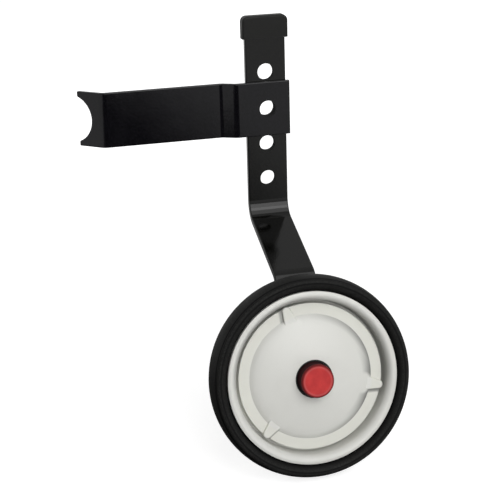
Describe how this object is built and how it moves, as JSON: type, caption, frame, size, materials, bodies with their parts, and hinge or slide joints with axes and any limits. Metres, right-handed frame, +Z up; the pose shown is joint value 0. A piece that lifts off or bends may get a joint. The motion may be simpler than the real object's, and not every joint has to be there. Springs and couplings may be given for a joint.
{
  "type": "bicycle training wheel",
  "caption": "Training wheel unit: cranked strip leg with axle holes, notched frame brace and a small moulded wheel on a bolt, holding up a child's bicycle.",
  "frame": {"origin": "centre of the second axle hole from the top, on the leg's inner face that lies against the bicycle's drop-out", "axes": "+Z up the leg, +Y along the bicycle's axle towards its frame, -X towards the bicycle's front"},
  "size_m": [0.18, 0.1256, 0.268],
  "materials": {
    "leg_paint": "satin black powder coat",
    "brace_paint": "satin black powder coat",
    "end_cap": "soft matt black",
    "wheel_white": "moulded white, low gloss",
    "tyre_black": "matt black",
    "bush_black": "black nylon",
    "cap_red": "moulded red",
    "steel": "zinc plated",
    "insert_white": "nylon ring"
  },
  "bodies": {
    "leg": {"leg_bar": "leg_paint", "leg_end_cap": "end_cap", "axle_bolt": "steel", "leg_washer": "steel", "inner_washer": "steel", "axle_sleeve": "steel", "outer_washer": "steel", "lock_nut": "steel", "lock_nut_insert": "insert_white", "axle_cap": "cap_red"},
    "wheel": {"tyre": "tyre_black", "wheel_body": "wheel_white", "outer_bush": "bush_black", "inner_bush": "bush_black"},
    "brace": {"frame_brace": "brace_paint"}
  },
  "joints": [
    {"name": "wheel_spin", "type": "hinge", "parent": "leg", "child": "wheel", "pos_m": [0, -0.091, -0.1479], "axis": [0, -0.9781, 0.2079], "continuous": true},
    {"name": "height_adjust", "type": "slide", "parent": "leg", "child": "brace", "axis": [0, 0, 1], "range_m": [-0.046, 0.023]}
  ]
}
